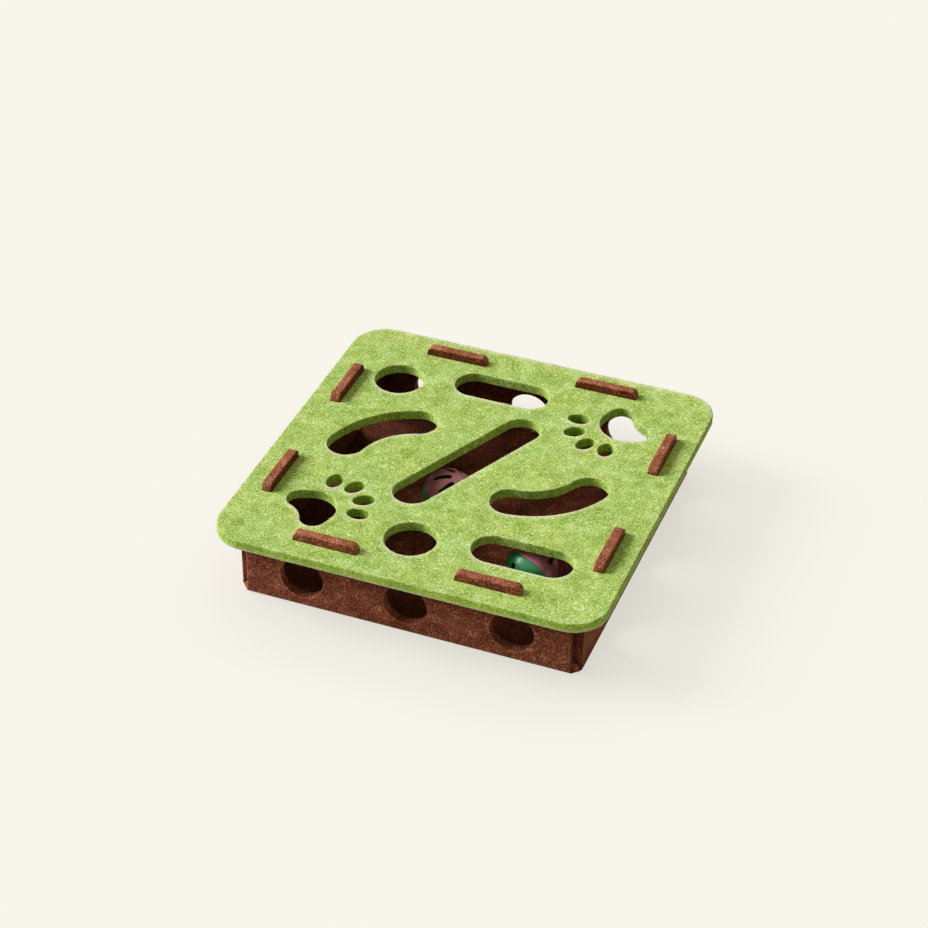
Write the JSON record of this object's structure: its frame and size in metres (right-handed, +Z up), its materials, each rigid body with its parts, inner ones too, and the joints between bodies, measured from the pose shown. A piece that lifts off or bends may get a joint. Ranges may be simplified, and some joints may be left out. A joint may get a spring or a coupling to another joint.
{
  "type": "cat felt maze box",
  "caption": "Square felt play box for a cat: a lid with round, straight, curved and paw-print cut-outs lifts off a folded felt tray with round side holes, and slotted bell balls roll inside.",
  "frame": {"origin": "middle of the underside of the floor panel, on the surface that the box stands on", "axes": "+Z up out of the lid, +X along the front wall to the right, +Y from the front wall to the back wall"},
  "size_m": [0.3, 0.3, 0.066],
  "materials": {
    "tray_felt": "needled brown felt board, speckled, matt",
    "lid_felt": "needled yellow-green felt board, speckled, matt",
    "pink_plastic": "glossy moulded plastic, mauve pink",
    "green_plastic": "glossy moulded plastic, emerald green",
    "bell_metal": "stamped nickel-plated sheet",
    "pellet_steel": "steel bead"
  },
  "bodies": {
    "tray": {"base_panel": "tray_felt", "front_wall": "tray_felt", "back_wall": "tray_felt", "left_wall": "tray_felt", "right_wall": "tray_felt"},
    "lid": {"lid_panel": "lid_felt"},
    "bell_1": {"ball_1_bell_cap": "bell_metal", "ball_1_bell_bowl": "bell_metal"},
    "ball_1": {"ball_1_pink_half": "pink_plastic", "ball_1_green_half": "green_plastic"},
    "pellet_1": {"ball_1_pellet": "pellet_steel"},
    "bell_2": {"ball_2_bell_cap": "bell_metal", "ball_2_bell_bowl": "bell_metal"},
    "ball_2": {"ball_2_pink_half": "pink_plastic", "ball_2_green_half": "green_plastic"},
    "pellet_2": {"ball_2_pellet": "pellet_steel"}
  },
  "joints": [
    {"name": "lid_lift", "type": "slide", "parent": "tray", "child": "lid", "axis": [0, 0, 1], "range_m": [0, 0.06]},
    {"name": "ball_1_travel", "type": "slide", "parent": "tray", "child": "bell_1", "axis": [0.4226, 0.9063, 0], "range_m": [-0.114, 0.117]},
    {"name": "ball_1_roll", "type": "hinge", "parent": "bell_1", "child": "ball_1", "pos_m": [-0.0185, -0.0015, 0.0278], "axis": [-0.9063, 0.4226, 0], "range_deg": [-330, 338]},
    {"name": "pellet_1_swing", "type": "hinge", "parent": "bell_1", "child": "pellet_1", "pos_m": [-0.0185, -0.0015, 0.0167], "axis": [-0.9063, 0.4226, 0], "range_deg": [-75, 75]},
    {"name": "ball_2_travel", "type": "slide", "parent": "tray", "child": "bell_2", "axis": [1, 0, 0], "range_m": [-0.073, 0.033]},
    {"name": "ball_2_roll", "type": "hinge", "parent": "bell_2", "child": "ball_2", "pos_m": [0.0715, -0.0635, 0.0278], "axis": [0, 1, 0], "range_deg": [-212, 98]},
    {"name": "pellet_2_swing", "type": "hinge", "parent": "bell_2", "child": "pellet_2", "pos_m": [0.0715, -0.0635, 0.0167], "axis": [0, 1, 0], "range_deg": [-75, 75]}
  ],
  "couplings": [
    {"joint": "ball_1_roll", "follows": "ball_1_travel", "rad_per_m": 50},
    {"joint": "ball_2_roll", "follows": "ball_2_travel", "rad_per_m": 50}
  ]
}
